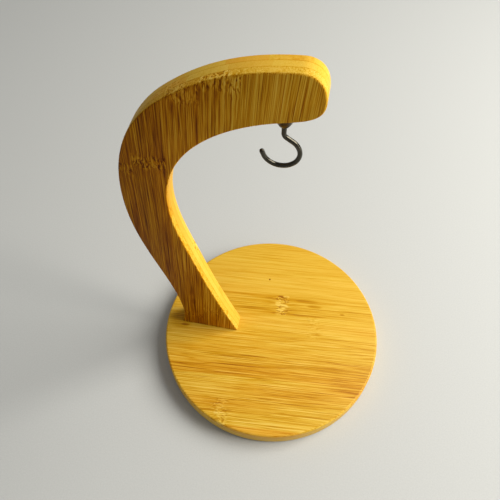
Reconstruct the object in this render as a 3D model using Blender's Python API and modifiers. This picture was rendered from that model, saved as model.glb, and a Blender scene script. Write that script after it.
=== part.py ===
"""Bamboo banana hanger, in metres with +Z up.

A round base board stands on stick-on pads. A flat curved arm is screwed to it from beneath, and
a bent wire hook turns into the arm's underside, directly over the middle of the board. A domed
cup on the hook's shank seats in a shallow spot face.

The origin is on the table, under the middle of the whole object as seen from above. The arm
stands in the XZ plane: its foot is at -X and its nose, past the hook, points to +X.
"""

import math

import bmesh
import bpy
from mathutils import Matrix, Vector

# ---- Fits ------------------------------------------------------------------------------------
JOINT_GAP = 0.0003          # between faces that rest on each other
BORE_CLEARANCE = 0.0004     # round a thread or a shank, on the radius
OVERSHOOT = 0.002           # how far a cutter reaches past the face that it opens
WELD = 0.00001              # points closer than this are one point

# ---- Base board and its pads -------------------------------------------------------------------
BASE_RADIUS = 0.100
BASE_THICKNESS = 0.0165
BASE_EDGE_ROUND = 0.0020
PAD_RADIUS = 0.0060
PAD_THICKNESS = 0.0015
PAD_EDGE_ROUND = 0.0004
PAD_INSET = 0.0160          # rim of the board to the middle of a pad
PAD_COUNT = 4

# ---- Arm ---------------------------------------------------------------------------------------
ARM_THICKNESS = 0.0155
ARM_HEIGHT = 0.2945         # top of the board to the crest of the arm
ARM_EDGE_ROUND = 0.0012
FOOT_SETBACK = 0.0156       # rim of the board to the foot's outer corner
FOOT_WIDTH = 0.0532
FOOT_OUTER_LEAN = 76.0      # headings are in degrees, anticlockwise from +X
FOOT_INNER_LEAN = -70.5
WAIST_IN = 0.0031           # the narrow place just above the foot
WAIST_HEIGHT = 0.0279
BELLY_OUT = 0.0227          # how far the arm swells out past its foot
BELLY_HEIGHT = 0.1704
BELLY_WIDTH = 0.0323
INNER_BELLY_HEIGHT = 0.1754
SHOULDER_IN = 0.0161
SHOULDER_DROP = 0.0278      # below the crest
SHOULDER_SLOPE = 37.5
CREST_REACH = 0.0066        # past the hook's axis
CREST_SLOPE = 3.0
NOSE_REACH = 0.0215
NOSE_DROP = 0.0166
HEAD_DEPTH = 0.0322         # crest to underside, over the hook
UNDERSIDE_SLOPE = 13.0
INNER_MID_IN = 0.0234
INNER_MID_HEIGHT = 0.1004
INNER_MID_LEAN = -76.5
OUTLINE_STEPS = 24          # straight pieces in each curved stretch of the outline

# ---- Screws that hold the arm --------------------------------------------------------------------
SCREW_OUTER_INSET = 0.0115  # from the foot's outer corner
SCREW_INNER_INSET = 0.0178  # from the foot's inner corner
SCREW_LENGTH = 0.0400
SCREW_CORE_RADIUS = 0.0014
SCREW_THREAD_RADIUS = 0.0020
SCREW_SHANK_RADIUS = 0.0018
SCREW_THREAD_LENGTH = 0.0230
SCREW_PITCH = 0.0020
SCREW_HEAD_RADIUS = 0.0040
SCREW_RECESS = 0.0006       # head below the underside of the board
SCREW_POINT = 0.0040
SLOT_LENGTH = 0.0046        # cross recess in the head
SLOT_WIDTH = 0.0009
SLOT_DEPTH = 0.0017

# ---- Hook and its cup ------------------------------------------------------------------------------
WIRE_RADIUS = 0.0015
HOOK_CORE_RADIUS = 0.0011
HOOK_PITCH = 0.0015
HOOK_TURNS = 9              # turns of thread in the wood
HOOK_POINT = 0.0025
SHANK_DROP = 0.0146         # seat to the first bend
NECK_RADIUS = 0.0040
NECK_TURN = 55.0
NECK_RUN = 0.0044
BOWL_RADIUS = 0.0110        # to the middle of the wire
BOWL_TURN = 215.0
TIP_RUN = 0.0027
CUP_RADIUS = 0.0055
CUP_HEIGHT = 0.0101
CUP_WALL = 0.0008

# ---- Resolution ------------------------------------------------------------------------------------
BASE_SIDES = 96
ROUND_SIDES = 24
THREAD_SIDES = 12
RINGS_PER_TURN = 4
DOME_STEPS = 7

# ---- Places that follow from the sizes ---------------------------------------------------------------
BASE_BOTTOM = PAD_THICKNESS + JOINT_GAP
BASE_TOP = BASE_BOTTOM + BASE_THICKNESS
FOOT_LEVEL = BASE_TOP + JOINT_GAP
# The arm swells out past the board, so the board's centre, which is also the hook's axis, stands
# half that overhang to +X of the origin.
CENTRE_X = (BELLY_OUT - FOOT_SETBACK) / 2
FOOT_X = FOOT_SETBACK - BASE_RADIUS     # from the board's centre, as all of the arm's outline is
SCREW_XS = {
    "arm_screw_outer": CENTRE_X + FOOT_X + SCREW_OUTER_INSET,
    "arm_screw_inner": CENTRE_X + FOOT_X + FOOT_WIDTH - SCREW_INNER_INSET,
}
SPOT_RADIUS = CUP_RADIUS + BORE_CLEARANCE
UNDERSIDE_LEVEL = BASE_TOP + ARM_HEIGHT - HEAD_DEPTH
SEAT_LEVEL = UNDERSIDE_LEVEL + SPOT_RADIUS * math.tan(math.radians(UNDERSIDE_SLOPE))
HOOK_THREAD_LENGTH = HOOK_TURNS * HOOK_PITCH

BAMBOO = ("bamboo", (0.62, 0.38, 0.11), 0.45, 0.0)
NICKEL = ("polished_nickel", (0.42, 0.40, 0.35), 0.15, 1.0)
STEEL = ("zinc_steel", (0.66, 0.66, 0.64), 0.35, 1.0)
RUBBER = ("pad_rubber", (0.05, 0.05, 0.05), 0.80, 0.0)


# ---- Tools -------------------------------------------------------------------------------------------
def clear_scene():
    for old in list(bpy.data.objects):
        bpy.data.objects.remove(old)


def collection(name):
    made = bpy.data.collections.new(name)
    bpy.context.scene.collection.children.link(made)
    return made


def material(name, color, roughness, metallic):
    made = bpy.data.materials.new(name)
    made.use_nodes = True
    shader = made.node_tree.nodes["Principled BSDF"]
    shader.inputs["Base Color"].default_value = (*color, 1.0)
    shader.inputs["Roughness"].default_value = roughness
    shader.inputs["Metallic"].default_value = metallic
    return made


def finish_as(piece, finish):
    """Give a piece its own copy of a finish, and shade its round faces smooth."""
    piece.data.materials.clear()
    piece.data.materials.append(material(f"{finish[0]}_{piece.name}", *finish[1:]))
    piece.data.shade_smooth()
    piece.data.set_sharp_from_angle(angle=math.radians(35))


def add_object(name, data, group, location=(0, 0, 0)):
    piece = bpy.data.objects.new(name, data)
    piece.location = location
    group.objects.link(piece)
    return piece


def baked(source, name, group):
    """Freeze a curve, or a mesh with modifiers, into a welded mesh object in the same place."""
    bpy.context.view_layer.update()
    evaluated = source.evaluated_get(bpy.context.evaluated_depsgraph_get())
    mesh = bpy.data.meshes.new_from_object(evaluated)
    work = bmesh.new()
    work.from_mesh(mesh)
    bmesh.ops.remove_doubles(work, verts=work.verts, dist=WELD)
    work.to_mesh(mesh)
    work.free()
    piece = add_object(name, mesh, group)
    piece.matrix_world = source.matrix_world
    bpy.data.objects.remove(source)
    return piece


def cylinder(name, group, radius, low, high, sides, x=CENTRE_X, y=0.0):
    """An upright cylinder between two heights, standing on (x, y)."""
    bpy.ops.mesh.primitive_cylinder_add(vertices=sides, radius=radius, depth=high - low)
    piece = bpy.context.object
    piece.name = name
    piece.location = (x, y, (low + high) / 2)
    for holder in list(piece.users_collection):
        holder.objects.unlink(piece)
    group.objects.link(piece)
    return piece


def turned(name, group, profile, sides, location=(0, 0, 0), closed=False):
    """Spin a profile of (radius, height) points, listed from the top down its outer side."""
    mesh = bpy.data.meshes.new(name)
    edges = [(i, i + 1) for i in range(len(profile) - 1)]
    if closed:
        edges.append((len(profile) - 1, 0))
    mesh.from_pydata([(radius, 0, height) for radius, height in profile], edges, [])
    piece = add_object(name, mesh, group, location)
    spin = piece.modifiers.new("spin", "SCREW")
    spin.steps = sides
    spin.render_steps = sides
    spin.use_merge_vertices = True
    spin.merge_threshold = WELD
    return piece


def round_edges(piece, width, segments):
    bevel = piece.modifiers.new("round", "BEVEL")
    bevel.width = width
    bevel.segments = segments
    bevel.limit_method = "ANGLE"
    bevel.angle_limit = math.radians(50)


def cut(piece, cutter):
    cutter.hide_render = True
    cutter.display_type = "WIRE"
    boolean = piece.modifiers.new(cutter.name, "BOOLEAN")
    boolean.operation = "DIFFERENCE"
    boolean.solver = "EXACT"
    boolean.object = cutter


def cut_thread(mesh, low, high, pitch, core, crest):
    """Press a right-hand thread into an upright rod on the mesh's own Z axis."""
    for vertex in mesh.vertices:
        height = vertex.co.z
        radius = math.hypot(vertex.co.x, vertex.co.y)
        if not low - WELD < height < high + WELD or radius < WELD:
            continue
        turn = math.atan2(vertex.co.y, vertex.co.x) / math.tau
        phase = (height / pitch - turn) % 1.0
        ridge = max(0.0, 1.0 - abs(phase - 0.5) * 3.0)
        # The ridge fades out over one pitch at both ends of the thread.
        fade = min(1.0, (height - low) / pitch, (high - height) / pitch)
        wanted = core + (crest - core) * ridge * max(0.0, fade)
        scale = min(radius, wanted) / radius
        vertex.co.x *= scale
        vertex.co.y *= scale


# ---- Base board ------------------------------------------------------------------------------------
def screw_hole(name, x, group):
    """Cutter for one arm screw through the board: a countersink below and a clearance hole above."""
    head = SCREW_HEAD_RADIUS + BORE_CLEARANCE
    shank = SCREW_THREAD_RADIUS + BORE_CLEARANCE
    head_level = BASE_BOTTOM + SCREW_RECESS
    profile = [
        (0, BASE_TOP + OVERSHOOT),
        (shank, BASE_TOP + OVERSHOOT),
        (shank, head_level + head - shank),
        (head, head_level),
        (head, BASE_BOTTOM - OVERSHOOT),
        (0, BASE_BOTTOM - OVERSHOOT),
    ]
    return turned(name, group, profile, ROUND_SIDES, location=(x, 0, 0))


def make_base(parts, cutters):
    base = cylinder("base_disc", parts, BASE_RADIUS, BASE_BOTTOM, BASE_TOP, BASE_SIDES)
    round_edges(base, BASE_EDGE_ROUND, 3)
    for name, x in SCREW_XS.items():
        cut(base, screw_hole(f"hole_for_{name}", x, cutters))
    finish_as(base, BAMBOO)


def make_pads(parts):
    ring = BASE_RADIUS - PAD_INSET
    for number in range(PAD_COUNT):
        angle = math.tau * (number + 0.5) / PAD_COUNT
        pad = cylinder(
            f"foot_pad_{number + 1}", parts, PAD_RADIUS, 0, PAD_THICKNESS, ROUND_SIDES,
            x=CENTRE_X + ring * math.cos(angle), y=ring * math.sin(angle),
        )
        round_edges(pad, PAD_EDGE_ROUND, 2)
        finish_as(pad, RUBBER)


# ---- Arm -------------------------------------------------------------------------------------------
def arm_knots():
    """The arm's outline, clockwise from the foot's outer corner: where each knot is, seen from the
    top of the board and the hook's axis, which way the edge runs there, and how strongly the
    stretch that follows holds that heading, as a share of the stretch's length."""
    belly_x = FOOT_X - BELLY_OUT
    return [
        ((FOOT_X, JOINT_GAP), FOOT_OUTER_LEAN, 0.35),
        ((FOOT_X + WAIST_IN, WAIST_HEIGHT), 94.0, 0.355),
        ((belly_x, BELLY_HEIGHT), 90.0, 0.355),
        ((FOOT_X + SHOULDER_IN, ARM_HEIGHT - SHOULDER_DROP), SHOULDER_SLOPE, 0.365),
        ((CREST_REACH, ARM_HEIGHT), CREST_SLOPE, 0.44),
        ((NOSE_REACH, ARM_HEIGHT - NOSE_DROP), -90.0, 0.42),
        ((0, ARM_HEIGHT - HEAD_DEPTH), 180 + UNDERSIDE_SLOPE, 0.40),
        ((belly_x + BELLY_WIDTH, INNER_BELLY_HEIGHT), -90.0, 0.33),
        ((FOOT_X + INNER_MID_IN, INNER_MID_HEIGHT), INNER_MID_LEAN, 0.34),
        ((FOOT_X + FOOT_WIDTH, JOINT_GAP), FOOT_INNER_LEAN, 0.34),
    ]


def arm_blank(parts):
    """The arm's flat outline, given its thickness and stood up in the XZ plane."""
    knots = arm_knots()
    curve = bpy.data.curves.new("arm_outline", "CURVE")
    curve.dimensions = "2D"
    curve.fill_mode = "BOTH"
    curve.extrude = ARM_THICKNESS / 2
    curve.resolution_u = OUTLINE_STEPS
    spline = curve.splines.new("BEZIER")
    spline.bezier_points.add(len(knots) - 1)
    spline.use_cyclic_u = True
    for index, (place, heading, pull) in enumerate(knots):
        point = spline.bezier_points[index]
        before, _, pull_before = knots[index - 1]
        after = knots[(index + 1) % len(knots)][0]
        along = Vector((math.cos(math.radians(heading)), math.sin(math.radians(heading))))
        back = along * pull_before * math.dist(before, place)
        ahead = along * pull * math.dist(place, after)
        point.handle_left_type = "FREE"
        point.handle_right_type = "FREE"
        point.co = (*place, 0)
        point.handle_left = (place[0] - back.x, place[1] - back.y, 0)
        point.handle_right = (place[0] + ahead.x, place[1] + ahead.y, 0)
    # The sole of the foot, from the last knot back to the first, is straight.
    spline.bezier_points[-1].handle_right_type = "VECTOR"
    spline.bezier_points[0].handle_left_type = "VECTOR"
    blank = add_object("arm_outline", curve, parts, location=(CENTRE_X, 0, BASE_TOP))
    blank.rotation_euler = (math.radians(90), 0, 0)
    return baked(blank, "curved_arm", parts)


def round_long_edges(arm):
    """Round the arm's outline on both faces, and leave the sole of the foot square."""
    work = bmesh.new()
    work.from_mesh(arm.data)
    half = ARM_THICKNESS / 2
    for side in (-half, half):
        cheek = [f for f in work.faces if all(abs(v.co.z - side) < WELD for v in f.verts)]
        bmesh.ops.dissolve_faces(work, faces=cheek)
    weights = work.edges.layers.float.new("bevel_weight_edge")
    for edge in work.edges:
        on_cheek = abs(edge.verts[0].co.z - edge.verts[1].co.z) < WELD
        on_sole = all(vertex.co.y < JOINT_GAP + WELD for vertex in edge.verts)
        edge[weights] = float(on_cheek and not on_sole)
    work.to_mesh(arm.data)
    work.free()
    bevel = arm.modifiers.new("round", "BEVEL")
    bevel.width = ARM_EDGE_ROUND
    bevel.segments = 2
    bevel.limit_method = "WEIGHT"


def make_arm(parts, cutters):
    arm = arm_blank(parts)
    round_long_edges(arm)
    pilot = SCREW_THREAD_RADIUS + BORE_CLEARANCE
    screw_top = BASE_BOTTOM + SCREW_RECESS + SCREW_LENGTH
    for name, x in SCREW_XS.items():
        cut(arm, cylinder(
            f"pilot_for_{name}", cutters, pilot,
            FOOT_LEVEL - OVERSHOOT, screw_top + OVERSHOOT, ROUND_SIDES // 2, x=x,
        ))
    cut(arm, cylinder(
        "hook_spot_face", cutters, SPOT_RADIUS,
        UNDERSIDE_LEVEL - SPOT_RADIUS, SEAT_LEVEL, ROUND_SIDES,
    ))
    cut(arm, cylinder(
        "hook_pilot", cutters, WIRE_RADIUS + BORE_CLEARANCE,
        SEAT_LEVEL - OVERSHOOT, SEAT_LEVEL + HOOK_THREAD_LENGTH + OVERSHOOT, ROUND_SIDES // 2,
    ))
    finish_as(arm, BAMBOO)


# ---- Screws ----------------------------------------------------------------------------------------
def screw_profile():
    """Countersunk wood screw standing on its head, from the point down to the head's face."""
    core = SCREW_THREAD_RADIUS
    rings = math.ceil((SCREW_THREAD_LENGTH - SCREW_POINT) / SCREW_PITCH * RINGS_PER_TURN)
    thread_low = SCREW_LENGTH - SCREW_THREAD_LENGTH
    point_low = SCREW_LENGTH - SCREW_POINT
    profile = [(0, SCREW_LENGTH), (SCREW_CORE_RADIUS * 0.5, SCREW_LENGTH - SCREW_POINT / 2)]
    for ring in range(rings + 1):
        profile.append((core, point_low + (thread_low - point_low) * ring / rings))
    profile += [
        (SCREW_SHANK_RADIUS, thread_low - SCREW_PITCH / 2),
        (SCREW_SHANK_RADIUS, SCREW_HEAD_RADIUS - SCREW_SHANK_RADIUS),
        (SCREW_HEAD_RADIUS, 0),
        (0, 0),
    ]
    return profile


def make_screws(parts, cutters):
    rod = turned("screw_rod", parts, screw_profile(), THREAD_SIDES)
    rod = baked(rod, "screw_rod", parts)
    thread_low = SCREW_LENGTH - SCREW_THREAD_LENGTH
    cut_thread(
        rod.data, thread_low, SCREW_LENGTH - SCREW_POINT, SCREW_PITCH,
        SCREW_CORE_RADIUS, SCREW_THREAD_RADIUS,
    )
    for number, angle in enumerate((0, 90)):
        bpy.ops.mesh.primitive_cube_add(size=1)
        slot = bpy.context.object
        slot.name = f"cross_slot_{number + 1}"
        slot.data.transform(
            Matrix.Rotation(math.radians(angle), 4, "Z")
            @ Matrix.Diagonal((SLOT_LENGTH, SLOT_WIDTH, 2 * SLOT_DEPTH, 1))
        )
        for holder in list(slot.users_collection):
            holder.objects.unlink(slot)
        cutters.objects.link(slot)
        cut(rod, slot)
    screw = baked(rod, "screw_master", parts)
    for name, x in SCREW_XS.items():
        piece = add_object(name, screw.data.copy(), parts, (x, 0, BASE_BOTTOM + SCREW_RECESS))
        finish_as(piece, STEEL)
    bpy.data.objects.remove(screw)


# ---- Hook ------------------------------------------------------------------------------------------
def bent_wire(start, heading, bends):
    """Points along a wire bent in one plane. Each bend is (radius, turn in degrees), or
    (length, 0) for a straight run, and a positive turn is anticlockwise."""
    points = [Vector(start)]
    angle = math.radians(heading)
    for size, turn in bends:
        if turn == 0:
            points.append(points[-1] + size * Vector((math.cos(angle), math.sin(angle))))
            continue
        steps = max(2, round(abs(turn) / 11))
        step = math.radians(turn) / steps
        chord = 2 * size * math.sin(abs(step) / 2)
        for _ in range(steps):
            middle = angle + step / 2
            points.append(points[-1] + chord * Vector((math.cos(middle), math.sin(middle))))
            angle += step
    return points


def hook_route():
    """(x, z, share of the full wire radius) along the hook, from the threaded end to the tip."""
    top = HOOK_THREAD_LENGTH
    rings = math.ceil((top - HOOK_POINT) / HOOK_PITCH * RINGS_PER_TURN)
    route = [(0, top, 0.25), (0, top - HOOK_POINT / 2, 0.6)]
    for ring in range(rings):
        route.append((0, (top - HOOK_POINT) * (1 - ring / rings), 1.0))
    bends = [
        (SHANK_DROP, 0),
        (NECK_RADIUS, NECK_TURN),
        (NECK_RUN, 0),
        (BOWL_RADIUS, -BOWL_TURN),
        (TIP_RUN, 0),
    ]
    shape = bent_wire((0, 0), -90, bends)
    route += [(point.x, point.y, 1.0) for point in shape]
    # The tip is rounded off within one wire radius.
    along = (shape[-1] - shape[-2]).normalized() * WIRE_RADIUS
    for share in (0.5, 0.8, 0.97):
        end = shape[-1] + along * share
        route.append((end.x, end.y, math.sqrt(1 - share * share)))
    return route


def make_hook(parts):
    """The hook's own origin is on its shank's axis, at the seat of the cup."""
    route = hook_route()
    curve = bpy.data.curves.new("hook_route", "CURVE")
    curve.dimensions = "3D"
    curve.bevel_depth = WIRE_RADIUS
    curve.bevel_resolution = 4
    curve.use_fill_caps = True
    spline = curve.splines.new("POLY")
    spline.points.add(len(route) - 1)
    for point, (x, z, share) in zip(spline.points, route):
        point.co = (x, 0, z, 1)
        point.radius = share
    wire = add_object("hook_route", curve, parts, location=(CENTRE_X, 0, SEAT_LEVEL))
    hook = baked(wire, "hook_wire", parts)
    cut_thread(
        hook.data, 0, HOOK_THREAD_LENGTH - HOOK_POINT, HOOK_PITCH, HOOK_CORE_RADIUS, WIRE_RADIUS
    )
    finish_as(hook, NICKEL)


def make_cup(parts):
    """Stamped dome, open towards the wood, with a hole for the shank at its lowest point."""
    hole = WIRE_RADIUS + JOINT_GAP
    inner_radius = CUP_RADIUS - CUP_WALL
    inner_height = CUP_HEIGHT - CUP_WALL

    def dome(radius, height, downwards):
        last = math.acos(hole / radius)
        angles = [last * step / DOME_STEPS for step in range(DOME_STEPS + 1)]
        points = [(radius * math.cos(a), -height * math.sin(a)) for a in angles]
        return points if downwards else points[::-1]

    profile = dome(CUP_RADIUS, CUP_HEIGHT, True) + dome(inner_radius, inner_height, False)
    rim = (CENTRE_X, 0, SEAT_LEVEL - JOINT_GAP)
    cup = turned("hook_cup", parts, profile, ROUND_SIDES, rim, closed=True)
    finish_as(cup, NICKEL)


def main():
    clear_scene()
    parts = collection("banana_hanger")
    cutters = collection("cutters")
    make_base(parts, cutters)
    make_pads(parts)
    make_arm(parts, cutters)
    make_screws(parts, cutters)
    make_hook(parts)
    make_cup(parts)


main()
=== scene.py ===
"""Looks of the bamboo banana hanger: board, arm, wire hook and cup, screws and pads.

Every piece is placed from the boxes of the fixed frame's nodes. Lengths are in metres, and the
patterns in the materials are laid out in millimetres.
"""

import math

import bmesh
import bpy
from mathutils import Matrix, Vector


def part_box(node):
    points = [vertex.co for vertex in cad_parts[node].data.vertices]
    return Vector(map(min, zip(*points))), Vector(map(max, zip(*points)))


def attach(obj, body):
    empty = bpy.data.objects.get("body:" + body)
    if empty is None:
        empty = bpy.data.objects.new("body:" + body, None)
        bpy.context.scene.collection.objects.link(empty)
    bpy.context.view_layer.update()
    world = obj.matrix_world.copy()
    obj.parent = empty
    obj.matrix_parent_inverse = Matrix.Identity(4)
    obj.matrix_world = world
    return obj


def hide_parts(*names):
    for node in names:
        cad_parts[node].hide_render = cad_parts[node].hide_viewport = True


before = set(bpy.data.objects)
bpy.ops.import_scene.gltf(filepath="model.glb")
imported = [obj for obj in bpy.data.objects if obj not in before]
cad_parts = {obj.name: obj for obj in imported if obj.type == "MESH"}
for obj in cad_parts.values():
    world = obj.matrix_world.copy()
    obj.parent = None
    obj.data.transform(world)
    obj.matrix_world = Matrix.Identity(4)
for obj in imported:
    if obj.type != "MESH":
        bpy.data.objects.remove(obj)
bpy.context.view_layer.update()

# ---- Places read from the frame ------------------------------------------------------------------
BOARD_LOW, BOARD_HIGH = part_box("base_disc")
ARM_LOW, ARM_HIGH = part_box("curved_arm")
WIRE_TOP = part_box("hook_wire")[1].z
CUP_LOW, CUP_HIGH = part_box("hook_cup")

BOARD_X = (BOARD_LOW.x + BOARD_HIGH.x) / 2      # also the hook's axis
BOARD_RADIUS = (BOARD_HIGH.x - BOARD_LOW.x) / 2
BOARD_TOP = BOARD_HIGH.z
ARM_THICKNESS = ARM_HIGH.y - ARM_LOW.y
ARM_SOLE = ARM_LOW.z
CUP_RIM = CUP_HIGH.z
CUP_RADIUS = (CUP_HIGH.x - CUP_LOW.x) / 2

# ---- Small distances -----------------------------------------------------------------------------
JOINT_GAP = 0.0003
BORE_CLEARANCE = 0.0004
OVERSHOOT = 0.002
WELD = 0.00001

# ---- Board and pads ------------------------------------------------------------------------------
BOARD_EDGE_ROUND = 0.0020
BOARD_SIDES = 256
PAD_EDGE_ROUND = 0.0004
PAD_SIDES = 64

# ---- Arm -----------------------------------------------------------------------------------------
ARM_EDGE_ROUND = 0.0012
ARM_HEIGHT = 0.2945
FOOT_SETBACK = 0.0156
FOOT_WIDTH = 0.0532
FOOT_X = FOOT_SETBACK - BOARD_RADIUS
HEEL = (0.0031, 0.0279)         # in from the foot's outer corner, and up
BELLY_OUT = 0.0227              # out from the foot's outer corner
BELLY_HEIGHT = 0.1704
BELLY_WIDTH = 0.0323
THROAT_HEIGHT = 0.1754          # of the narrow part, on the inner edge
SHOULDER = (0.0161, 0.0278)     # in from the foot's outer corner, and down from the arm's top
CROWN_OUT = 0.0066              # past the hook's axis
NOSE = (0.0215, 0.0166)         # past the hook's axis, and down from the arm's top
HEAD_DEPTH = 0.0322             # at the hook's axis
UNDERSIDE_SLOPE = 13.0
SHIN = (0.0234, 0.1004)         # in from the foot's outer corner, and up, on the inner edge
OUTLINE_STEPS = 24
SPOT_CUTTER = 0.0100            # length of the tool that cuts the hook's spot face
SPOT_SIDES = 96
BORE_SIDES = 32

# ---- Arm screws ----------------------------------------------------------------------------------
SCREW_LENGTH = 0.0400
SCREW_CORE_RADIUS = 0.0014
SCREW_THREAD_RADIUS = 0.0020
SCREW_SHANK_RADIUS = 0.0018
SCREW_THREAD_LENGTH = 0.0230
SCREW_PITCH = 0.0020
SCREW_HEAD_RADIUS = 0.0040
SCREW_HEAD_LAND = 0.0003        # straight rim of the head
SCREW_POINT = 0.0040
RECESS_LENGTH = 0.0046
RECESS_WIDTH = 0.0009
RECESS_DEPTH = 0.0017
RECESS_FLOOR = 0.55             # its floor's size, as a share of its mouth's
SCREW_HOLE_SIDES = 48

# ---- Hook and cup --------------------------------------------------------------------------------
WIRE_RADIUS = 0.0015
HOOK_CORE_RADIUS = 0.0011
HOOK_PITCH = 0.0015
HOOK_POINT = 0.0025
HOOK_SHOULDER = 0.0004          # from the thread's root out to the wire
SHANK_DROP = 0.0146
NECK_RADIUS = 0.0040
NECK_TURN = 55.0
NECK_RUN = 0.0044
BOWL_RADIUS = 0.0110
BOWL_TURN = 215.0
BEND_STEP = 4.0                 # degrees of a bend from one ring to the next
TIP_RUN = 0.0027
TIP_STEPS = (0.30, 0.55, 0.75, 0.90, 0.98)      # of the rounded end, in wire radii
CUP_HEIGHT = 0.0101
CUP_WALL = 0.0008
CUP_RIM_ROUND = 0.0002
CUP_SIDES = 64
CUP_RINGS = 48
SEAT_LEVEL = CUP_RIM + JOINT_GAP
SPOT_RADIUS = CUP_RADIUS + BORE_CLEARANCE

MM = 1000.0     # millimetres in a metre, for the patterns


# ---- Bench tools: what every piece is made with --------------------------------------------------
def select_only(piece):
    bpy.ops.object.select_all(action="DESELECT")
    piece.select_set(True)
    bpy.context.view_layer.objects.active = piece


def edit(piece):
    select_only(piece)
    bpy.ops.object.mode_set(mode="EDIT")


def leave():
    bpy.ops.object.mode_set(mode="OBJECT")


def pick(kind, rule):
    """In edit mode, select the edges or faces for which the rule holds."""
    bpy.ops.mesh.select_mode(type={"edges": "EDGE", "faces": "FACE"}[kind])
    bpy.ops.mesh.select_all(action="DESELECT")
    mesh = bmesh.from_edit_mesh(bpy.context.object.data)
    for item in getattr(mesh, kind):
        if rule(item):
            item.select_set(True)
    mesh.select_flush_mode()
    bmesh.update_edit_mesh(bpy.context.object.data)


def at_height(level):
    """A rule for pick: the edges or faces at that height, in the piece's own mesh."""
    def rule(item):
        return all(abs(vertex.co.z - level) < WELD for vertex in item.verts)
    return rule


def is_level(edge):
    """A rule for pick: an edge that runs level, such as those of a cylinder's two ends."""
    return abs(edge.verts[0].co.z - edge.verts[1].co.z) < WELD


def apply_modifiers(piece):
    select_only(piece)
    for modifier in list(piece.modifiers):
        bpy.ops.object.modifier_apply(modifier=modifier.name)


def settle(piece):
    """Put a piece's place into its mesh, so that its object sits at the origin, unturned."""
    select_only(piece)
    bpy.ops.object.transform_apply(location=True, rotation=True, scale=True)


def mend(piece):
    """Merge doubled points and turn every face outwards."""
    edit(piece)
    bpy.ops.mesh.select_all(action="SELECT")
    bpy.ops.mesh.remove_doubles(threshold=WELD)
    bpy.ops.mesh.normals_make_consistent(inside=False)
    leave()


def shade(piece, angle=35):
    select_only(piece)
    bpy.ops.object.shade_smooth_by_angle(angle=math.radians(angle))


def cut_away(piece, tool):
    """Cut a tool's shape out of a piece, and drop the tool."""
    cut = piece.modifiers.new("cut", "BOOLEAN")
    cut.operation = "DIFFERENCE"
    cut.solver = "EXACT"
    cut.object = tool
    apply_modifiers(piece)
    bpy.data.objects.remove(tool)


def upright_cylinder(name, radius, low, high, sides, x=BOARD_X, y=0.0):
    bpy.ops.object.select_all(action="DESELECT")
    bpy.ops.mesh.primitive_cylinder_add(
        vertices=sides, radius=radius, depth=high - low, location=(x, y, (low + high) / 2)
    )
    piece = bpy.context.object
    piece.name = name
    settle(piece)
    return piece


def finish_with(piece, finish, body, node):
    """Give a finished piece its material, its body and the node that it stands for."""
    piece.name = node + "_detailed"
    piece.data.name = piece.name
    piece.data.materials.clear()
    piece.data.materials.append(finish)
    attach(piece, body)
    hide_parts(node)


# ---- Material tools ------------------------------------------------------------------------------
class Amount:
    """A number in a material, worked out afresh at every point, which adds and multiplies."""

    def __init__(self, mix, socket):
        self.mix = mix
        self.socket = socket

    def __add__(self, other):
        return self.mix.math("ADD", self, other)

    def __sub__(self, other):
        return self.mix.math("SUBTRACT", self, other)

    def __mul__(self, other):
        return self.mix.math("MULTIPLY", self, other)

    def __truediv__(self, other):
        return self.mix.math("DIVIDE", self, other)

    __radd__ = __add__

    def __rsub__(self, other):
        return self.mix.math("SUBTRACT", other, self)


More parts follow.
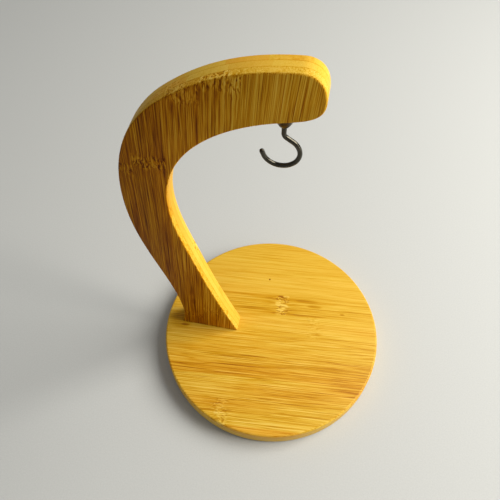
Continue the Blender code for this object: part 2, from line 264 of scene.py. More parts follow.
class Mix:
    """One material's node tree, with a short call for each kind of node."""

    def __init__(self, name, world=None):
        self.material = world or bpy.data.materials.new(name)
        self.material.use_nodes = True
        self.tree = self.material.node_tree
        self.shader = self.tree.nodes["Background" if world else "Principled BSDF"]

    def feed(self, socket, value):
        if isinstance(value, Amount):
            self.tree.links.new(value.socket, socket)
        else:
            socket.default_value = value

    def node(self, kind, inputs=None, **settings):
        made = self.tree.nodes.new("ShaderNode" + kind)
        for key, value in settings.items():
            setattr(made, key, value)
        for key, value in (inputs or {}).items():
            self.feed(made.inputs[key], value)
        return made

    def math(self, operation, *terms):
        made = self.node("Math", operation=operation)
        for socket, term in zip(made.inputs, terms):
            self.feed(socket, term)
        return Amount(self, made.outputs[0])

    def place(self, move=(0, 0, 0), turn=(0, 0, 0)):
        """The point's place in millimetres, moved and then turned, as three amounts."""
        where = Amount(self, self.node("TexCoord").outputs["Object"])
        spun = Matrix.Identity(3)
        for axis, angle in zip("XYZ", turn):
            spun = Matrix.Rotation(angle, 3, axis) @ spun
        moved = spun @ (Vector(move) * MM)
        laid = self.node("Mapping", {
            "Vector": where, "Location": moved, "Rotation": turn, "Scale": (MM, MM, MM),
        })
        parts = self.node("SeparateXYZ", {0: Amount(self, laid.outputs[0])})
        return [Amount(self, socket) for socket in parts.outputs]

    def facing(self):
        """How squarely the surface faces each of the piece's own axes, from 0 to 1."""
        normal = Amount(self, self.node("TexCoord").outputs["Normal"])
        parts = self.node("SeparateXYZ", {0: normal})
        return [self.math("ABSOLUTE", Amount(self, socket)) for socket in parts.outputs]

    def point(self, x, y, z):
        joined = self.node("CombineXYZ", {0: x, 1: y, 2: z})
        return Amount(self, joined.outputs[0])

    def noise(self, x, y, z, detail=2.0, roughness=0.5, distortion=0.0):
        made = self.node("TexNoise", {
            "Vector": self.point(x, y, z), "Scale": 1.0, "Detail": detail,
            "Roughness": roughness, "Distortion": distortion,
        })
        return Amount(self, made.outputs["Fac"])

    def cells(self, x, y, z):
        """How far the point is from the middle of its cell."""
        made = self.node("TexVoronoi", {"Vector": self.point(x, y, z), "Scale": 1.0})
        return Amount(self, made.outputs["Distance"])

    def dice(self, x, y):
        """Three random amounts that stay the same all over a strip."""
        thrown = self.node("TexWhiteNoise", {"Vector": self.point(x, y, 0.5)})
        parts = self.node("SeparateColor", {0: Amount(self, thrown.outputs["Color"])})
        return [Amount(self, socket) for socket in parts.outputs]

    def rise(self, amount, low, high, start=0.0, end=1.0):
        """Rise smoothly from start to end as the amount goes from low to high."""
        made = self.node("MapRange", {
            "Value": amount, "From Min": low, "From Max": high, "To Min": start, "To Max": end,
        }, interpolation_type="SMOOTHSTEP")
        return Amount(self, made.outputs["Result"])

    def hump(self, amount, width):
        """1 where the amount is 0, falling smoothly to 0 at a width to either side."""
        return self.rise(self.math("ABSOLUTE", amount), 0.0, width, 1.0, 0.0)

    def ramp(self, amount, stops, interpolation="LINEAR"):
        made = self.node("ValToRGB", {"Fac": amount})
        scale = made.color_ramp
        scale.interpolation = interpolation
        scale.elements.remove(scale.elements[1])
        scale.elements[0].position = stops[0][0]
        scale.elements[0].color = (*stops[0][1], 1.0)
        for position, color in stops[1:]:
            scale.elements.new(position).color = (*color, 1.0)
        return Amount(self, made.outputs["Color"])

    def split(self, color):
        parts = self.node("SeparateColor", {0: color})
        return [Amount(self, socket) for socket in parts.outputs]

    def tint(self, share, color, other, blend="MIX"):
        made = self.node("Mix", data_type="RGBA", blend_type=blend)
        self.feed(made.inputs["Factor"], share)
        self.feed(made.inputs[6], color)
        self.feed(made.inputs[7], other)
        return Amount(self, made.outputs[2])

    def bump(self, height, strength):
        """Relief whose height is given in millimetres."""
        made = self.node("Bump", {"Height": height, "Distance": 1 / MM, "Strength": strength})
        self.tree.links.new(made.outputs[0], self.shader.inputs["Normal"])

    def surface(self, **values):
        """Set the shader's own sockets, such as base_color or coat_weight."""
        for key, value in values.items():
            socket = key.replace("_", " ").title().replace("Ior", "IOR")
            self.feed(self.shader.inputs[socket], value)


# ---- Bamboo --------------------------------------------------------------------------------------
# All the sizes in the patterns are in millimetres.
STRIP_WIDTH = 21.8
PLIES = 3
KNUCKLE_SPACING = 255.0
KNUCKLE_FADE = 0.55     # how much weaker the next knuckle along a strip is
REACH = 400.0           # a knuckle's place, from 0 to 1, spans this length about the middle
EDGE_TONE = 0.63        # how pale the planed edges are
EDGE_EVENNESS = 0.65    # how far all of them come to that tone
EDGE_BOLDNESS = 0.45    # how bold their streaks are, beside those of the faces

# How much each part of the pattern lightens or darkens the wood.
BROAD_STREAKS = 0.22
MIDDLE_STREAKS = 1.10
FINE_STREAKS = 0.55
DARK_LINES = 0.14
VEINS = 0.12
BUNDLES = 0.10
END_BUNDLES = 0.05
FRINGE = 0.18
FLECKS = 0.18
PITS_AND_PAINTED_SHADE = 0.30
STRIP_SEAM = 0.05
PLY_SEAM = 0.18

# From the darkest wood to the palest.
BAMBOO_TONES = [
    (0.00, (0.110, 0.030, 0.001)),
    (0.25, (0.340, 0.130, 0.002)),
    (0.45, (0.555, 0.285, 0.004)),
    (0.60, (0.690, 0.430, 0.046)),
    (0.80, (0.790, 0.570, 0.120)),
    (1.00, (0.880, 0.730, 0.270)),
]
RED_TINT = (0.96, 0.70, 0.35, 1.0)
END_GRAIN_TINT = (0.86, 0.72, 0.50, 1.0)


def knuckle_at(distance):
    """A knuckle's place, from 0 to 1, for its distance from the middle along the grain."""
    return 0.5 + distance / REACH


NO_KNUCKLE = knuckle_at(110.0)      # past both ends of the board


def bamboo(name, order, move, turn, thickness, face_ply, first_strip, strips, marks, stain_and_painted_shade, gloss):
    """Strips of bamboo glued side by side and in plies, as one solid pattern.

    order says which of the turned axes runs along the grain, across the strips and through the
    plies. The show face's strips are listed from first_strip on: how light each is, where its
    knuckle is and how strong, and how bold, red and silky its streaks are. The other plies draw
    theirs by lot.
    """
    mix = Mix(name)
    ply_thickness = thickness * MM / PLIES
    axes = mix.place(move, turn)
    along, across, depth = (axes["XYZ".index(letter)] for letter in order)
    faces = mix.facing()
    end_grain = mix.rise(faces["XYZ".index(order[0])], 0.45, 0.95)
    flat = mix.rise(faces["XYZ".index(order[2])], 0.30, 0.80)

    # Which ply and which strip, and what that strip was dealt.
    ply = mix.math("FLOOR", depth / ply_thickness)
    ply = mix.math("MAXIMUM", mix.math("MINIMUM", ply, PLIES - 1.0), 0.0)
    on_show = mix.hump(ply - face_ply, 0.5)
    shift = (1.0 - on_show) * mix.dice(ply, 3.0)[0]
    lined_up = (across - first_strip) / STRIP_WIDTH
    strip = mix.math("FLOOR", lined_up + shift)
    within = mix.math("FRACT", lined_up + shift)
    luck = mix.dice(strip + 0.37, ply + 0.71)

    def chosen(first, drawn):
        """Three amounts from the list of strips on the show face, or as drawn elsewhere."""
        stops = [(index / len(strips), row[first:first + 3]) for index, row in enumerate(strips)]
        listed = mix.split(mix.ramp(lined_up / len(strips), stops, "CONSTANT"))
        return [on_show * one + (1.0 - on_show) * other for one, other in zip(listed, drawn)]

    tone, knuckle, force = chosen(0, (0.48 + luck[0] * 0.16, luck[1], 0.7))
    bold, redness, silk = chosen(3, (0.5, luck[2], 0.5))
    bold = bold * (EDGE_BOLDNESS + flat * (1.0 - EDGE_BOLDNESS))
    # Edges are pulled towards one pale tone, away from the faces' tones, which on the arm are
    # partly painted shade.
    tone = tone + (1.0 - flat) * (EDGE_TONE - tone) * EDGE_EVENNESS

    # Knuckle: a wavy belt across the strip, with fibres that crowd and bend towards it.
    half_spacing = KNUCKLE_SPACING / 2
    sway = mix.noise(along * 0.02, across * 0.20, luck[2] * 40.0, detail=1.0) - 0.5
    gap = along - (knuckle - 0.5) * REACH
    next_one = mix.rise(mix.math("ABSOLUTE", gap), half_spacing - 1.0, half_spacing)
    force = force * (1.0 - next_one * KNUCKLE_FADE)
    gap = mix.math("WRAP", gap, half_spacing, -half_spacing) + sway * 10.0
    distance = mix.math("ABSOLUTE", gap)
    near = mix.hump(gap, 24.0) * force
    belt = mix.rise(distance, 3.0, 7.5, 1.0, 0.0) * force
    twist = mix.noise(along * 0.09, across * 0.16, luck[2] * 31.0, detail=2.0) - 0.5
    wander = mix.noise(along * 0.008, across * 0.03, luck[0] * 50.0, detail=1.0) - 0.5
    bent = across + wander * 2.5 + twist * near * 3.0

    # Each strip is cut from its own part of the pattern.
    lot = depth + luck[2] * 400.0
    run = along + luck[1] * 300.0

    def streaky(along_rate, across_rate, **texture):
        """Noise drawn out along the grain, whose rates are per millimetre."""
        return mix.noise(run * along_rate, bent * across_rate, lot * across_rate, **texture)

    # Fibres: streaks of three widths, lines of two, and dark bundles, dots on the end grain.
    broad = streaky(0.008, 0.16, detail=2.0)
    middle = streaky(0.015, 1.25, detail=3.0, roughness=0.65)
    fine = streaky(0.040, 2.6, detail=3.0, roughness=0.65)
    dark_lines = mix.hump(streaky(0.010, 0.90, detail=0.0) - 0.5, 0.060)
    veins = mix.hump(streaky(0.007, 0.36, detail=0.0) - 0.5, 0.045)
    spots = mix.cells(run * 0.03, bent * 1.6, lot * 1.6)
    bundles = mix.rise(spots, 0.10, 0.36, 1.0, 0.0)
    crowd = mix.rise(mix.noise(run * 0.004, bent * 0.10, lot * 0.3, detail=1.0), 0.40, 0.66)
    streaks = (broad - 0.5) * BROAD_STREAKS
    streaks = streaks + (middle - 0.5) * MIDDLE_STREAKS + (fine - 0.5) * FINE_STREAKS
    lines = (dark_lines - 0.25) * DARK_LINES + (veins - 0.20) * VEINS
    lightness = tone + (streaks - lines - bundles * crowd * BUNDLES) * bold
    lightness = lightness - end_grain * bundles * END_BUNDLES

    # At a knuckle: a scorched fringe on both sides, pale torn flecks in the belt, and dark pits
    # between the flecks, partly the wood's own and partly painted shade beside their relief.
    fringe_noise = mix.noise(along * 0.040, bent * 0.42, lot * 0.4, detail=2.5, roughness=0.6)
    fringe = near * mix.rise(distance, 3.0, 8.0) * mix.rise(fringe_noise, 0.44, 0.66)
    fleck_noise = mix.noise(along * 0.20, across * 0.62, lot * 0.5, detail=2.0, distortion=1.0)
    flecks = belt * mix.rise(fleck_noise, 0.50, 0.58)
    pits_and_painted_shade = belt * mix.rise(fleck_noise, 0.38, 0.48, 1.0, 0.0)
    lightness = lightness - fringe * FRINGE + flecks * FLECKS - pits_and_painted_shade * PITS_AND_PAINTED_SHADE

    # Small marks on the show face: pin holes, curls, smears and dark patches; one patch on the
    # board is a painted shadow of the arm's foot.
    for mark_along, mark_across, half_length, half_width, darkness in marks:
        ahead = mix.math("POWER", (along - mark_along) / half_length, 2.0)
        aside = mix.math("POWER", (bent - mark_across) / half_width, 2.0)
        lightness = lightness - mix.hump(ahead + aside, 1.0) * on_show * darkness

    # Glue: a hair line between strips, and a finer one between plies.
    seam = mix.hump(mix.math("ABSOLUTE", within - 0.5) - 0.5, 0.009)
    ply_within = mix.math("FRACT", depth / ply_thickness)
    ply_seam = mix.hump(mix.math("ABSOLUTE", ply_within - 0.5) - 0.5, 0.07)
    lightness = lightness - seam * STRIP_SEAM - ply_seam * (1.0 - flat) * PLY_SEAM

    color = mix.ramp(lightness, BAMBOO_TONES)
    drift = mix.noise(run * 0.006, across * 0.05, lot * 0.05, detail=1.0)
    color = mix.tint(mix.rise(drift, 0.30, 0.75) * redness, color, RED_TINT, "MULTIPLY")
    color = mix.tint(end_grain * 0.12, color, END_GRAIN_TINT, "MULTIPLY")
    # Painted shade: on the arm, this multiplies the front and back faces darker and redder,
    # standing in for the shade on its front face; on the board it is white and changes nothing.
    color = mix.tint(flat, color, (*stain_and_painted_shade, 1.0), "MULTIPLY")

    rough = 0.52 - silk * 0.16 + (fine - 0.5) * 0.20 + belt * 0.08 + end_grain * 0.10
    relief = (fine - 0.5) * 0.05 - bundles * 0.03 + flecks * 0.09 - pits_and_painted_shade * 0.09 - seam * 0.03
    mix.surface(base_color=color, roughness=rough, specular_ior_level=gloss)
    mix.bump(relief, strength=0.55)
    return mix.material


def board_bamboo():
    """The board's grain runs nearly along X, turned a few degrees."""
    # Lightness, knuckle and its strength, and how bold, red and silky the streaks are.
    strips = [
        (0.52, knuckle_at(-37.2), 0.7, 0.9, 0.6, 0.5),
        (0.49, NO_KNUCKLE, 0.0, 1.0, 0.6, 0.5),
        (0.47, NO_KNUCKLE, 0.0, 1.0, 0.5, 0.5),
        (0.51, NO_KNUCKLE, 0.0, 0.8, 0.4, 0.6),
        (0.55, knuckle_at(40.0), 0.25, 0.6, 0.3, 0.7),
        (0.50, knuckle_at(8.8), 1.0, 0.6, 0.3, 0.7),
        (0.57, NO_KNUCKLE, 0.0, 0.4, 0.2, 0.7),
        (0.54, NO_KNUCKLE, 0.0, 0.4, 0.2, 0.7),
        (0.55, NO_KNUCKLE, 0.0, 0.4, 0.2, 0.7),
    ]
    # Place along the grain and across it, half length, half width and darkness.
    marks = [
        (-6.0, 54.0, 1.1, 1.3, 0.60),
        (40.0, 28.0, 9.0, 2.2, 0.16),
        (32.0, 33.0, 14.0, 1.6, 0.12),
        (67.0, 22.0, 3.0, 1.2, 0.20),
        (42.0, -1.0, 8.0, 2.0, 0.12),
        # The next two darken the board by the arm foot's outer corner; the wider, second one is a
        # painted shadow of the arm.
        (-82.0, -4.0, 5.0, 1.6, 0.22),
        (-86.0, 2.0, 16.0, 12.0, 0.16),
        (-20.0, 21.0, 26.0, 1.8, 0.14),
        (30.0, 17.0, 24.0, 1.4, 0.12),
    ]
    return bamboo(
        "board_bamboo", order="XYZ",
        move=(-BOARD_X, 0, -BOARD_LOW.z), turn=(0, 0, math.radians(-4.8)),
        thickness=BOARD_TOP - BOARD_LOW.z, face_ply=2.0, first_strip=-93.8,
        strips=strips, marks=marks, stain_and_painted_shade=(1.0, 1.0, 1.0), gloss=0.18,
    )


def arm_bamboo():
    """The arm's grain runs up its length, leaning a few degrees towards the nose."""
    # Strips and marks are listed as the board's are. The strips' tones are set well below the
    # board's, partly as painted shade on the arm's faces.
    strips = [
        (0.24, knuckle_at(70.0), 0.8, 1.3, 0.6, 0.4),
        (0.275, knuckle_at(80.0), 1.0, 1.3, 0.5, 0.4),
        (0.365, knuckle_at(138.0), 0.8, 1.4, 0.4, 0.4),
        (0.44, knuckle_at(150.0), 1.0, 1.4, 0.4, 0.4),
        (0.51, NO_KNUCKLE, 0.0, 1.4, 0.2, 0.4),
        (0.50, NO_KNUCKLE, 0.0, 1.4, 0.2, 0.4),
    ]
    marks = [
        (-92.0, -60.0, 7.0, 3.0, 0.12),
        # A wide patch, darker towards the foot's lower outer corner.
        (-135.0, -68.0, 50.0, 46.0, 0.09),
    ]
    return bamboo(
        "arm_bamboo", order="ZXY",
        move=(0, -ARM_LOW.y, -0.15), turn=(0, math.radians(-4.0), 0),
        thickness=ARM_THICKNESS, face_ply=0.0, first_strip=-116.4,
        strips=strips, marks=marks, stain_and_painted_shade=(0.87, 0.71, 0.33), gloss=0.05,
    )


# ---- Metals and rubber ---------------------------------------------------------------------------
def polished_nickel():
    mix = Mix("polished_nickel")
    x, y, z = mix.place()
    wisps = mix.noise(x * 0.9, y * 0.9, z * 0.25, detail=4.0, roughness=0.7)
    scratches = mix.rise(mix.noise(x * 6.0, y * 6.0, z * 0.7, detail=2.0), 0.58, 0.72)
    smudge = mix.rise(mix.noise(x * 0.12, y * 0.12, z * 0.12, detail=3.0), 0.42, 0.68)
    # Painted reflection: the body colour is far darker than nickel, standing in for a dark room
    # reflected in the hook, so that the lamps' highlights stand out.
    color = mix.ramp(wisps, [(0.3, (0.044, 0.040, 0.031)), (0.7, (0.082, 0.075, 0.058))])
    mix.surface(base_color=color, metallic=1.0)
    mix.surface(roughness=0.10 + scratches * 0.10 + smudge * 0.05)
    mix.bump(scratches * -0.006 + wisps * 0.010, strength=0.5)
    return mix.material


def nickel_with_painted_shade_and_wood_reflection():
    """The cup's nickel, duller than the hook's; its dark, warm colour is painted shade and a
    painted reflection of the bamboo.
    """
    mix = Mix("nickel_with_painted_shade_and_wood_reflection")
    x, y, z = mix.place()
    stain_and_painted_shade = mix.noise(x * 0.5, y * 0.5, z * 0.5, detail=4.0, roughness=0.7)
    color = mix.ramp(stain_and_painted_shade, [(0.3, (0.035, 0.022, 0.008)), (0.7, (0.085, 0.056, 0.022))])
    mix.surface(base_color=color, metallic=1.0, specular_ior_level=0.2)
    mix.surface(roughness=0.24 + stain_and_painted_shade * 0.16)
    mix.bump(stain_and_painted_shade * 0.02, strength=0.4)
    return mix.material


def zinc_steel():
    mix = Mix("zinc_steel")
    x, y, z = mix.place()
    spangle = mix.cells(x * 0.8, y * 0.8, z * 0.8)
    grime = mix.rise(mix.noise(x * 0.5, y * 0.5, z * 0.5, detail=4.0), 0.45, 0.70)
    color = mix.ramp(spangle, [(0.0, (0.50, 0.50, 0.46)), (0.6, (0.70, 0.69, 0.64))])
    color = mix.tint(grime * 0.35, color, (0.36, 0.33, 0.26, 1.0))
    mix.surface(base_color=color, metallic=1.0)
    mix.surface(roughness=0.30 + grime * 0.22)
    mix.bump(mix.noise(x * 3.0, y * 3.0, z * 3.0, detail=3.0) * 0.02, strength=0.4)
    return mix.material


def pad_rubber():
    mix = Mix("pad_rubber")
    x, y, z = mix.place()
    mottle = mix.noise(x * 1.4, y * 1.4, z * 1.4, detail=4.0, roughness=0.7)
    color = mix.ramp(mottle, [(0.3, (0.020, 0.020, 0.021)), (0.7, (0.055, 0.053, 0.050))])
    mix.surface(base_color=color, roughness=0.62 + mottle * 0.25)
    mix.bump(mottle * 0.08, strength=0.6)
    return mix.material


def floor_paper():
    """Pale paper, paler still far from the hanger, so that it has no dark horizon."""
    mix = Mix("floor_paper")
    x, y, z = mix.place()
    tooth = mix.noise(x * 0.8, y * 0.8, z * 0.8, detail=4.0)
    color = mix.ramp(tooth, [(0.3, (0.49, 0.50, 0.495)), (0.7, (0.53, 0.54, 0.535))])
    away = mix.math("SQRT", x * x + y * y)
    far_off = mix.rise(away, 1300.0, 2800.0)
    color = mix.tint(far_off, color, (0.94, 0.95, 0.94, 1.0))
    mix.surface(base_color=color, roughness=0.9)
    return mix.material


# ---- Board ---------------------------------------------------------------------------------------
def screw_hole(x, head_level):
    """Tool that cuts one screw's countersink and clearance hole through the board."""
    head = SCREW_HEAD_RADIUS + BORE_CLEARANCE
    shank = SCREW_THREAD_RADIUS + BORE_CLEARANCE
    tool = upright_cylinder(
        "screw_hole", head, BOARD_LOW.z - OVERSHOOT, head_level, SCREW_HOLE_SIDES, x=x
    )
    edit(tool)
    pick("faces", at_height(head_level))
    bpy.ops.mesh.extrude_region_move(TRANSFORM_OT_translate={"value": (0, 0, head - shank)})
    bpy.ops.transform.resize(value=(shank / head, shank / head, 1))
    rise = BOARD_TOP + OVERSHOOT - head_level - (head - shank)
    bpy.ops.mesh.extrude_region_move(TRANSFORM_OT_translate={"value": (0, 0, rise)})
    leave()
    return tool


def make_board(finish):
    board = upright_cylinder("board", BOARD_RADIUS, BOARD_LOW.z, BOARD_TOP, BOARD_SIDES)
    edit(board)
    pick("edges", is_level)
    bpy.ops.mesh.bevel(offset=BOARD_EDGE_ROUND, segments=6, affect="EDGES")
    leave()
    for node in ("arm_screw_outer", "arm_screw_inner"):
        low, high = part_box(node)
        cut_away(board, screw_hole((low.x + high.x) / 2, low.z))
    shade(board)
    finish_with(board, finish, "stand", "base_disc")


def make_pads(finish):
    for number in range(1, 5):
        node = f"foot_pad_{number}"
        low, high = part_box(node)
        radius = (high.x - low.x) / 2
        pad = upright_cylinder(
            node, radius, low.z, high.z, PAD_SIDES, x=(low.x + high.x) / 2, y=(low.y + high.y) / 2
        )
        edit(pad)
        pick("edges", is_level)
        bpy.ops.mesh.bevel(offset=PAD_EDGE_ROUND, segments=4, affect="EDGES")
        leave()
        shade(pad)
        finish_with(pad, finish, "stand", node)


# ---- Arm -----------------------------------------------------------------------------------------
def arm_knots():
    """The outline, clockwise from the foot's outer corner: where each knot is, seen from the top
    of the board and the hook's axis, the edge's heading there, and how strongly the stretch that
    follows holds that heading, as a share of the stretch's length."""
    belly_x = FOOT_X - BELLY_OUT
    return [
        ((FOOT_X, JOINT_GAP), 76.0, 0.35),
        ((FOOT_X + HEEL[0], HEEL[1]), 94.0, 0.355),
        ((belly_x, BELLY_HEIGHT), 90.0, 0.355),
        ((FOOT_X + SHOULDER[0], ARM_HEIGHT - SHOULDER[1]), 37.5, 0.365),
        ((CROWN_OUT, ARM_HEIGHT), 3.0, 0.44),
        ((NOSE[0], ARM_HEIGHT - NOSE[1]), -90.0, 0.42),
        ((0, ARM_HEIGHT - HEAD_DEPTH), 180 + UNDERSIDE_SLOPE, 0.40),
        ((belly_x + BELLY_WIDTH, THROAT_HEIGHT), -90.0, 0.33),
        ((FOOT_X + SHIN[0], SHIN[1]), -76.5, 0.34),
        ((FOOT_X + FOOT_WIDTH, JOINT_GAP), -70.5, 0.34),
    ]


def arm_outline():
    """The outline as an edge loop in the arm's front plane."""
    knots = arm_knots()
    bpy.ops.object.select_all(action="DESELECT")
    bpy.ops.curve.primitive_bezier_circle_add()
    outline = bpy.context.object
    outline.data.dimensions = "2D"
    outline.data.fill_mode = "NONE"
    outline.data.resolution_u = OUTLINE_STEPS
    spline = outline.data.splines[0]
    spline.bezier_points.add(len(knots) - len(spline.bezier_points))
    for index, (place, heading, pull) in enumerate(knots):
        point = spline.bezier_points[index]
        before, _, pull_before = knots[index - 1]
        after = knots[(index + 1) % len(knots)][0]
        ahead = Vector((math.cos(math.radians(heading)), math.sin(math.radians(heading)), 0))
        point.handle_left_type = "FREE"
        point.handle_right_type = "FREE"
        point.co = (*place, 0)
        point.handle_left = point.co - ahead * pull_before * math.dist(before, place)
        point.handle_right = point.co + ahead * pull * math.dist(place, after)
    # The sole of the foot is straight.
    spline.bezier_points[len(knots) - 1].handle_right_type = "VECTOR"
    spline.bezier_points[0].handle_left_type = "VECTOR"
    outline.rotation_euler = (math.radians(90), 0, 0)
    outline.location = (BOARD_X, ARM_LOW.y, BOARD_TOP)
    bpy.ops.object.convert(target="MESH")
    settle(outline)
    return outline


def make_arm(finish):
    arm = arm_outline()
    edit(arm)
    bpy.ops.mesh.select_all(action="SELECT")
    bpy.ops.mesh.remove_doubles(threshold=WELD)
    bpy.ops.mesh.edge_face_add()
    bpy.ops.mesh.extrude_region_move(TRANSFORM_OT_translate={"value": (0, ARM_THICKNESS, 0)})
    bpy.ops.mesh.select_all(action="SELECT")
    bpy.ops.mesh.normals_make_consistent(inside=False)
    # Both faces' outlines, but for the sole of the foot, which stays sharp.
    pick("edges", lambda edge: abs(edge.verts[0].co.y - edge.verts[1].co.y) < WELD
         and max(vertex.co.z for vertex in edge.verts) > ARM_SOLE + WELD)
    bpy.ops.mesh.bevel(offset=ARM_EDGE_ROUND, segments=4, affect="EDGES")
    leave()
    for node in ("arm_screw_outer", "arm_screw_inner"):
        low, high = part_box(node)
        pilot = upright_cylinder(
            "screw_pilot", SCREW_THREAD_RADIUS + BORE_CLEARANCE, ARM_SOLE - OVERSHOOT,
            high.z + OVERSHOOT, BORE_SIDES, x=(low.x + high.x) / 2,
        )
        cut_away(arm, pilot)
    spot = upright_cylinder(
        "spot_face", SPOT_RADIUS, SEAT_LEVEL - SPOT_CUTTER, SEAT_LEVEL, SPOT_SIDES
    )
    cut_away(arm, spot)
    pilot = upright_cylinder(
        "hook_pilot", WIRE_RADIUS + BORE_CLEARANCE, SEAT_LEVEL - OVERSHOOT,
        WIRE_TOP + OVERSHOOT, BORE_SIDES,
    )
    cut_away(arm, pilot)
    shade(arm)
    finish_with(arm, finish, "stand", "curved_arm")


# ---- Threads -------------------------------------------------------------------------------------
def drawn_line(name, points):
    """A line drawn by extruding one vertex from point to point."""
    bpy.ops.object.select_all(action="DESELECT")
    bpy.ops.mesh.primitive_plane_add(size=0.001)
    line = bpy.context.object
    line.name = name
    edit(line)
    bpy.ops.mesh.select_mode(type="VERT")
    bpy.ops.mesh.select_all(action="SELECT")
    bpy.ops.mesh.merge(type="CENTER")
    bpy.ops.transform.translate(value=points[0])
    for before, after in zip(points, points[1:]):
        step = Vector(after) - Vector(before)
        bpy.ops.mesh.extrude_vertices_move(TRANSFORM_OT_translate={"value": step})
    leave()
    return line


def open_ring(level):
    """A rule for pick: the edges of the open ring at that height."""
    def rule(edge):
        return edge.is_boundary and at_height(level)(edge)
    return rule


def grow(rise, share):
    """In edit mode, extrude the picked ring straight up or down and scale it to a share."""
    bpy.ops.mesh.extrude_region_move(TRANSFORM_OT_translate={"value": (0, 0, rise)})
    bpy.ops.transform.resize(value=(share, share, 1))


ROOT_END = 0.20         # one pitch of a thread, as shares of the pitch:
CREST_START = 0.46      # root, flank, crest, flank and root
CREST_END = 0.54
ROOT_START = 0.80
THREAD_SIDES = 32


def threaded_tube(name, core, crest, pitch, turns):
    """A threaded tube on the Z axis, from height 0 up, with a flat open ring at each end.

    The outline of one pitch is swept round and up, the thread is run out over its first and last
    turn, and the loose ends are pressed flat."""
    outline = [
        (0.0, core), (ROOT_END, core), (CREST_START, crest),
        (CREST_END, crest), (ROOT_START, core), (1.0, core),
    ]
    tube = drawn_line(name, [(radius, 0, share * pitch) for share, radius in outline])
    sweep = tube.modifiers.new("sweep", "SCREW")
    sweep.screw_offset = pitch
    sweep.iterations = turns
    sweep.steps = THREAD_SIDES
    sweep.render_steps = THREAD_SIDES
    apply_modifiers(tube)
    mend(tube)
    height = (turns + 1) * pitch
    edit(tube)
    mesh = bmesh.from_edit_mesh(tube.data)
    for vertex in mesh.verts:
        ends = min(vertex.co.z, height - vertex.co.z)
        fade = min(1.0, max(0.0, ends / pitch - CREST_END))
        radius = math.hypot(vertex.co.x, vertex.co.y)
        scale = (core + (radius - core) * fade) / radius
        vertex.co.x *= scale
        vertex.co.y *= scale
    bmesh.update_edit_mesh(tube.data)
    for level in (0.0, height):
        pick("edges", lambda edge: edge.is_boundary
             and all(abs(vertex.co.z - level) < pitch + WELD for vertex in edge.verts))
        bpy.ops.transform.resize(value=(1, 1, 0), center_override=(0, 0, level))
    leave()
    mend(tube)
    return tube, height


def close_to_point(level, reach):
    """In edit mode, draw the open ring at that height out to a rounded point."""
    pick("edges", open_ring(level))
    grow(reach * 0.5, 0.62)
    grow(reach * 0.4, 0.35)
    bpy.ops.mesh.extrude_region_move(TRANSFORM_OT_translate={"value": (0, 0, reach * 0.1)})
    bpy.ops.mesh.merge(type="CENTER")


# ---- Arm screws ----------------------------------------------------------------------------------
def screw_blank():
    """A countersunk wood screw standing on its head, with its head's face at height 0."""
    turns = round((SCREW_THREAD_LENGTH - SCREW_POINT) / SCREW_PITCH) - 1
    screw, height = threaded_tube(
        "screw", SCREW_CORE_RADIUS, SCREW_THREAD_RADIUS, SCREW_PITCH, turns
    )
    edit(screw)
    close_to_point(height, SCREW_THREAD_LENGTH - height)
    pick("edges", open_ring(0.0))
    plain_length = SCREW_LENGTH - SCREW_THREAD_LENGTH
    cone = SCREW_HEAD_RADIUS - SCREW_SHANK_RADIUS
    shank = plain_length - SCREW_PITCH / 2 - cone - SCREW_HEAD_LAND
    grow(-SCREW_PITCH / 2, SCREW_SHANK_RADIUS / SCREW_CORE_RADIUS)
    grow(-shank, 1.0)
    grow(-cone, SCREW_HEAD_RADIUS / SCREW_SHANK_RADIUS)
    grow(-SCREW_HEAD_LAND, 1.0)
    bpy.ops.mesh.edge_face_add()
    bpy.ops.mesh.select_all(action="SELECT")
    bpy.ops.transform.translate(value=(0, 0, plain_length))
    leave()
    mend(screw)
    for turn in (0, 90):
        bpy.ops.object.select_all(action="DESELECT")
        bpy.ops.mesh.primitive_cube_add(
            size=1, scale=(RECESS_LENGTH, RECESS_WIDTH, 2 * RECESS_DEPTH),
            rotation=(0, 0, math.radians(turn)),
        )
        slot = bpy.context.object
        settle(slot)
        edit(slot)
        pick("faces", at_height(RECESS_DEPTH))
        bpy.ops.transform.resize(value=(RECESS_FLOOR, RECESS_FLOOR, 1))
        leave()
        cut_away(screw, slot)
    return screw


def make_screws(finish):
    blank = screw_blank()
    for node in ("arm_screw_outer", "arm_screw_inner"):
        low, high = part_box(node)
        screw = blank.copy()
        screw.data = blank.data.copy()
        bpy.context.scene.collection.objects.link(screw)
        screw.location = ((low.x + high.x) / 2, (low.y + high.y) / 2, low.z)
        settle(screw)
        shade(screw)
        finish_with(screw, finish, "stand", node)
    bpy.data.objects.remove(blank)


# ---- Hook and cup --------------------------------------------------------------------------------
def bend(place, heading, radius, turn):
    """In edit mode, spin the picked ring round a bend, and return where it ends and its heading.

    Places and headings are in the XZ plane, and a positive turn is anticlockwise there."""
    inward = heading + math.copysign(90, turn)
    side = math.radians(inward)
    centre = (place[0] + radius * math.cos(side), place[1] + radius * math.sin(side))
    bpy.ops.mesh.spin(
        steps=round(abs(turn) / BEND_STEP), angle=math.radians(turn),
        center=(centre[0], 0, centre[1]), axis=(0, 1, 0),
    )
    back = math.radians(inward + 180 + turn)
    end = (centre[0] + radius * math.cos(back), centre[1] + radius * math.sin(back))
    return end, heading + turn


def go_straight(place, heading, length):
    """In edit mode, extrude the picked ring straight ahead."""
    step = (length * math.cos(math.radians(heading)), length * math.sin(math.radians(heading)))
    bpy.ops.mesh.extrude_region_move(TRANSFORM_OT_translate={"value": (step[0], 0, step[1])})
    return (place[0] + step[0], place[1] + step[1]), heading


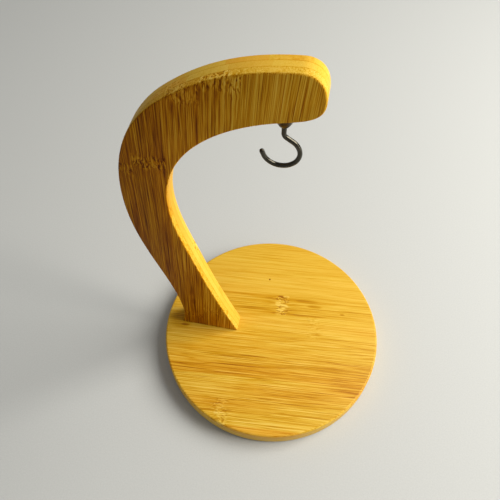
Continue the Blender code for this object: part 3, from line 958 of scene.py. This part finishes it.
def make_hook(finish):
    """The wire, from its screw point down the shank and round the bowl to its tip."""
    thread_length = WIRE_TOP - SEAT_LEVEL
    turns = round((thread_length - HOOK_POINT) / HOOK_PITCH) - 1
    hook, height = threaded_tube("hook", HOOK_CORE_RADIUS, WIRE_RADIUS, HOOK_PITCH, turns)
    edit(hook)
    close_to_point(height, thread_length - height)
    pick("edges", open_ring(0.0))
    grow(-HOOK_SHOULDER, WIRE_RADIUS / HOOK_CORE_RADIUS)
    place, heading = go_straight((0, -HOOK_SHOULDER), -90, SHANK_DROP - HOOK_SHOULDER)
    place, heading = bend(place, heading, NECK_RADIUS, NECK_TURN)
    place, heading = go_straight(place, heading, NECK_RUN)
    place, heading = bend(place, heading, BOWL_RADIUS, -BOWL_TURN)
    place, heading = go_straight(place, heading, TIP_RUN)
    # The tip is rounded off within one wire radius.
    ahead = Vector((math.cos(math.radians(heading)), 0, math.sin(math.radians(heading))))
    before, size = 0.0, 1.0
    for share in TIP_STEPS:
        step = ahead * WIRE_RADIUS * (share - before)
        bpy.ops.mesh.extrude_region_move(TRANSFORM_OT_translate={"value": step})
        narrower = math.sqrt(1 - share * share)
        bpy.ops.transform.resize(value=(narrower / size,) * 3)
        before, size = share, narrower
    bpy.ops.mesh.edge_face_add()
    bpy.ops.mesh.select_all(action="SELECT")
    bpy.ops.transform.translate(value=(BOARD_X, 0, SEAT_LEVEL))
    leave()
    mend(hook)
    shade(hook, 50)
    finish_with(hook, finish, "hook", "hook_wire")


def make_cup(finish):
    """Thin stamped dome, open towards the wood, with a hole for the shank."""
    hole = WIRE_RADIUS + JOINT_GAP
    lowest = CUP_HEIGHT * math.sqrt(1 - (hole / CUP_RADIUS) ** 2)
    bpy.ops.object.select_all(action="DESELECT")
    bpy.ops.mesh.primitive_uv_sphere_add(
        segments=CUP_SIDES, ring_count=CUP_RINGS, radius=CUP_RADIUS
    )
    cup = bpy.context.object
    edit(cup)
    bpy.ops.transform.resize(value=(1, 1, CUP_HEIGHT / CUP_RADIUS), center_override=(0, 0, 0))
    bpy.ops.mesh.bisect(plane_co=(0, 0, 0), plane_no=(0, 0, 1), clear_outer=True)
    bpy.ops.mesh.select_all(action="SELECT")
    bpy.ops.mesh.bisect(plane_co=(0, 0, -lowest), plane_no=(0, 0, 1), clear_inner=True)
    bpy.ops.mesh.select_all(action="SELECT")
    bpy.ops.transform.translate(value=(BOARD_X, 0, CUP_RIM))
    leave()
    wall = cup.modifiers.new("wall", "SOLIDIFY")
    wall.thickness = CUP_WALL
    wall.offset = -1
    rims = cup.modifiers.new("rims", "BEVEL")
    rims.width = CUP_RIM_ROUND
    rims.segments = 3
    rims.limit_method = "ANGLE"
    rims.angle_limit = math.radians(50)
    apply_modifiers(cup)
    shade(cup)
    finish_with(cup, finish, "cup", "hook_cup")


# ---- Floor, light and camera ---------------------------------------------------------------------
FLOOR_SIZE = 40
LIGHT_AIM = Vector((0, 0, 0.08))
ROOM_LOW = (0.37, 0.37, 0.36)           # the room's light at the horizon
ROOM_HIGH = (0.24, 0.24, 0.235)         # and overhead
WINDOW_LEAN = -0.25                     # the room is paler on the window's side
CAMERA_PLACE = (0.02752, -0.21432, 0.46856)
CAMERA_TURN = (34.17, 0.27, 11.14)      # degrees
CAMERA_LENS = 37.31


def soft_light(name, place, size, power, color):
    """A soft box aimed at the lower part of the hanger; size is its width and its height."""
    bpy.ops.object.light_add(type="AREA", location=place)
    light = bpy.context.object
    light.name = name
    light.data.shape = "RECTANGLE"
    light.data.size, light.data.size_y = size
    light.data.energy = power
    light.data.color = color
    light.rotation_euler = (LIGHT_AIM - light.location).to_track_quat("-Z", "Y").to_euler()


def set_floor():
    bpy.ops.object.select_all(action="DESELECT")
    bpy.ops.mesh.primitive_plane_add(size=FLOOR_SIZE, location=(0, 0, 0))
    floor = bpy.context.object
    floor.name = "floor"
    floor.data.materials.append(floor_paper())


def set_room():
    """Even light from all around, a little stronger from low down and from the window's side."""
    world = bpy.data.worlds.new("pale_room")
    bpy.context.scene.world = world
    sky = Mix("pale_room", world)
    direction = Amount(sky, sky.node("TexCoord").outputs["Generated"])
    parts = sky.node("SeparateXYZ", {0: direction})
    lean = Amount(sky, parts.outputs[0]) * WINDOW_LEAN
    height = Amount(sky, parts.outputs[2]) + lean
    sky.feed(sky.shader.inputs["Color"], sky.ramp(height, [(0.0, ROOM_LOW), (0.9, ROOM_HIGH)]))


def set_camera():
    bpy.ops.object.camera_add(
        location=CAMERA_PLACE, rotation=[math.radians(angle) for angle in CAMERA_TURN]
    )
    camera = bpy.context.object
    camera.data.lens = CAMERA_LENS
    camera.data.sensor_width = 36
    camera.data.clip_start = 0.01
    bpy.context.scene.camera = camera
    bpy.context.scene.view_settings.view_transform = "Standard"


make_board(board_bamboo())
make_arm(arm_bamboo())
make_pads(pad_rubber())
make_hook(polished_nickel())
make_cup(nickel_with_painted_shade_and_wood_reflection())
make_screws(zinc_steel())
set_floor()
set_room()
soft_light("window_light", (1.08, 0.33, 1.10), (1.1, 1.1), 35.5, (1.0, 0.97, 0.90))
soft_light("side_strip", (1.20, -0.12, 0.52), (0.30, 1.0), 5.0, (1.0, 0.95, 0.84))
set_camera()
